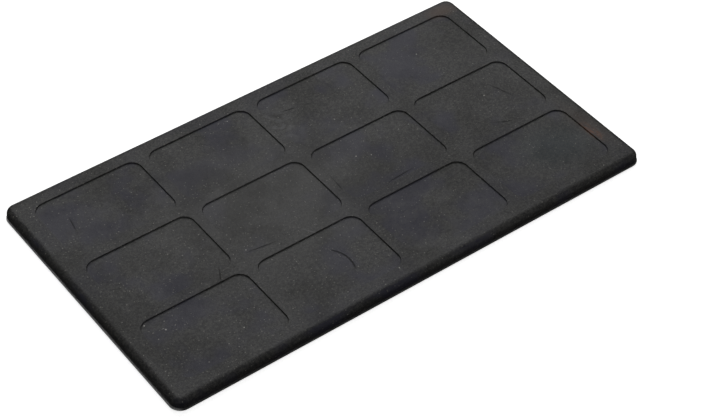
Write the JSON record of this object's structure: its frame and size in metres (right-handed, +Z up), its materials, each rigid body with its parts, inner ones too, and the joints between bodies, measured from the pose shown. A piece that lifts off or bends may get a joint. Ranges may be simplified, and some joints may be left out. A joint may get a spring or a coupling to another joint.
{
  "type": "seedling heat mat",
  "caption": "Flat black rubber heating mat with shallow tray recesses on top, a sealed heating cable between foils and a thermal cut-out inside.",
  "frame": {"origin": "centre of the underside, on the surface the mat lies on", "axes": "+X along the length towards the end with the cord inlet, +Y across, +Z up"},
  "size_m": [0.53, 0.3, 0.012],
  "materials": {
    "cover_rubber": "matt black moulded rubber, finely granular, with pale specks",
    "base_rubber": "matt black rubber sheet",
    "felt": "needled off-white felt",
    "foil": "bright rolled foil",
    "cable_sheath": "red-brown silicone sheath",
    "live_insulation": "black lead insulation",
    "neutral_insulation": "white lead insulation",
    "earth_insulation": "green lead insulation",
    "tinned_metal": "tinned crimp metal",
    "shrink_sleeve": "black shrink sleeve",
    "screw_steel": "zinc-plated steel",
    "rivet_metal": "plain aluminium",
    "bush_rubber": "matt black rubber",
    "clamp_plastic": "black glass-filled nylon",
    "contact_brass": "bright brass",
    "header_plastic": "brown phenolic",
    "clear_film": "amber insulating film"
  },
  "bodies": {
    "mat": {"base_sheet": "base_rubber", "top_cover": "cover_rubber", "insulation_pad": "felt", "carrier_foil": "foil", "spreader_foil": "foil", "heating_cable": "cable_sheath", "live_crimp": "tinned_metal", "neutral_crimp": "tinned_metal", "earth_crimp": "tinned_metal", "live_crimp_sleeve": "shrink_sleeve", "neutral_crimp_sleeve": "shrink_sleeve", "earth_crimp_sleeve": "shrink_sleeve", "live_splice": "tinned_metal", "return_splice": "tinned_metal", "live_splice_sleeve": "shrink_sleeve", "return_splice_sleeve": "shrink_sleeve", "live_lead": "live_insulation", "neutral_lead": "neutral_insulation", "earth_lead": "earth_insulation", "link_lead": "live_insulation", "earth_ring": "tinned_metal", "earth_rivet": "rivet_metal", "inlet_bush": "bush_rubber", "clamp_block": "clamp_plastic", "clamp_strap": "screw_steel", "clamp_screws": "screw_steel", "cutout_case": "tinned_metal", "cutout_header": "header_plastic", "cutout_fixed_contact": "contact_brass", "cutout_sleeve": "clear_film"},
    "bimetal": {"cutout_arm": "contact_brass"}
  },
  "joints": [
    {"name": "cutout_opening", "type": "hinge", "parent": "mat", "child": "bimetal", "pos_m": [0.2345, 0.1312, 0.00673], "axis": [0, -1, 0], "range_deg": [0, 3.5], "stiffness_Nm_per_rad": 0.001}
  ]
}
